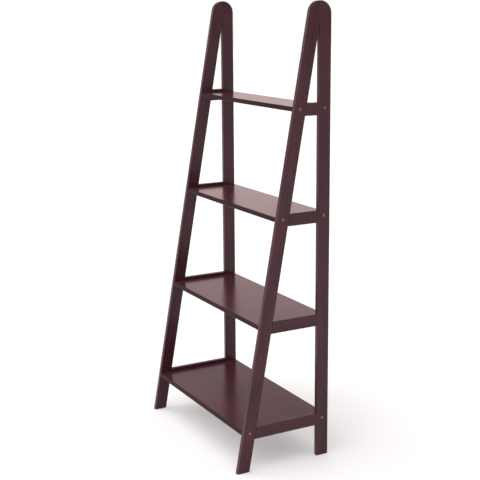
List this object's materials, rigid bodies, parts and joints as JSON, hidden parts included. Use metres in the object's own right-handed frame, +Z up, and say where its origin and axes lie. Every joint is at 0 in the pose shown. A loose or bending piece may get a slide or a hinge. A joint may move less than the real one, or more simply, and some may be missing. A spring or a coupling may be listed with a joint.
{
  "type": "ladder shelf",
  "caption": "Free-standing A-frame ladder shelf in dark lacquered wood, with flat shelves that get deeper towards the floor between two leaning side frames.",
  "frame": {"origin": "on the floor, at the centre of the footprint", "axes": "+X along the shelves to the viewer's right, -Y to the front, where the legs lean from, +Z up"},
  "size_m": [0.67, 0.35, 1.5199],
  "materials": {
    "espresso_wood": "dark espresso lacquer, satin, over solid hardwood",
    "bare_wood": "plain beech dowel rod, unfinished",
    "antique_brass": "antique brass plating, satin",
    "zinc_steel": "bright zinc plating"
  },
  "bodies": {
    "root": {"left_rear_post": "espresso_wood", "left_front_leg": "espresso_wood", "left_bottom_rail": "espresso_wood", "left_lower_rail": "espresso_wood", "left_upper_rail": "espresso_wood", "left_top_rail": "espresso_wood", "right_rear_post": "espresso_wood", "right_front_leg": "espresso_wood", "right_bottom_rail": "espresso_wood", "right_lower_rail": "espresso_wood", "right_upper_rail": "espresso_wood", "right_top_rail": "espresso_wood", "bottom_shelf": "espresso_wood", "lower_shelf": "espresso_wood", "upper_shelf": "espresso_wood", "top_shelf": "espresso_wood", "bottom_shelf_bolt_left_front": "antique_brass", "bottom_shelf_nut_left_front": "zinc_steel", "bottom_shelf_bolt_left_rear": "antique_brass", "bottom_shelf_nut_left_rear": "zinc_steel", "bottom_shelf_bolt_right_front": "antique_brass", "bottom_shelf_nut_right_front": "zinc_steel", "bottom_shelf_bolt_right_rear": "antique_brass", "bottom_shelf_nut_right_rear": "zinc_steel", "lower_shelf_dowel_left_front": "bare_wood", "lower_shelf_dowel_left_rear": "bare_wood", "lower_shelf_dowel_right_front": "bare_wood", "lower_shelf_dowel_right_rear": "bare_wood", "upper_shelf_bolt_left_front": "antique_brass", "upper_shelf_nut_left_front": "zinc_steel", "upper_shelf_bolt_left_rear": "antique_brass", "upper_shelf_nut_left_rear": "zinc_steel", "upper_shelf_bolt_right_front": "antique_brass", "upper_shelf_nut_right_front": "zinc_steel", "upper_shelf_bolt_right_rear": "antique_brass", "upper_shelf_nut_right_rear": "zinc_steel", "top_shelf_bolt_left_front": "antique_brass", "top_shelf_nut_left_front": "zinc_steel", "top_shelf_bolt_left_rear": "antique_brass", "top_shelf_nut_left_rear": "zinc_steel", "top_shelf_bolt_right_front": "antique_brass", "top_shelf_nut_right_front": "zinc_steel", "top_shelf_bolt_right_rear": "antique_brass", "top_shelf_nut_right_rear": "zinc_steel", "left_head_dowel_lower": "bare_wood", "left_head_dowel_upper": "bare_wood", "right_head_dowel_lower": "bare_wood", "right_head_dowel_upper": "bare_wood"}
  },
  "joints": []
}
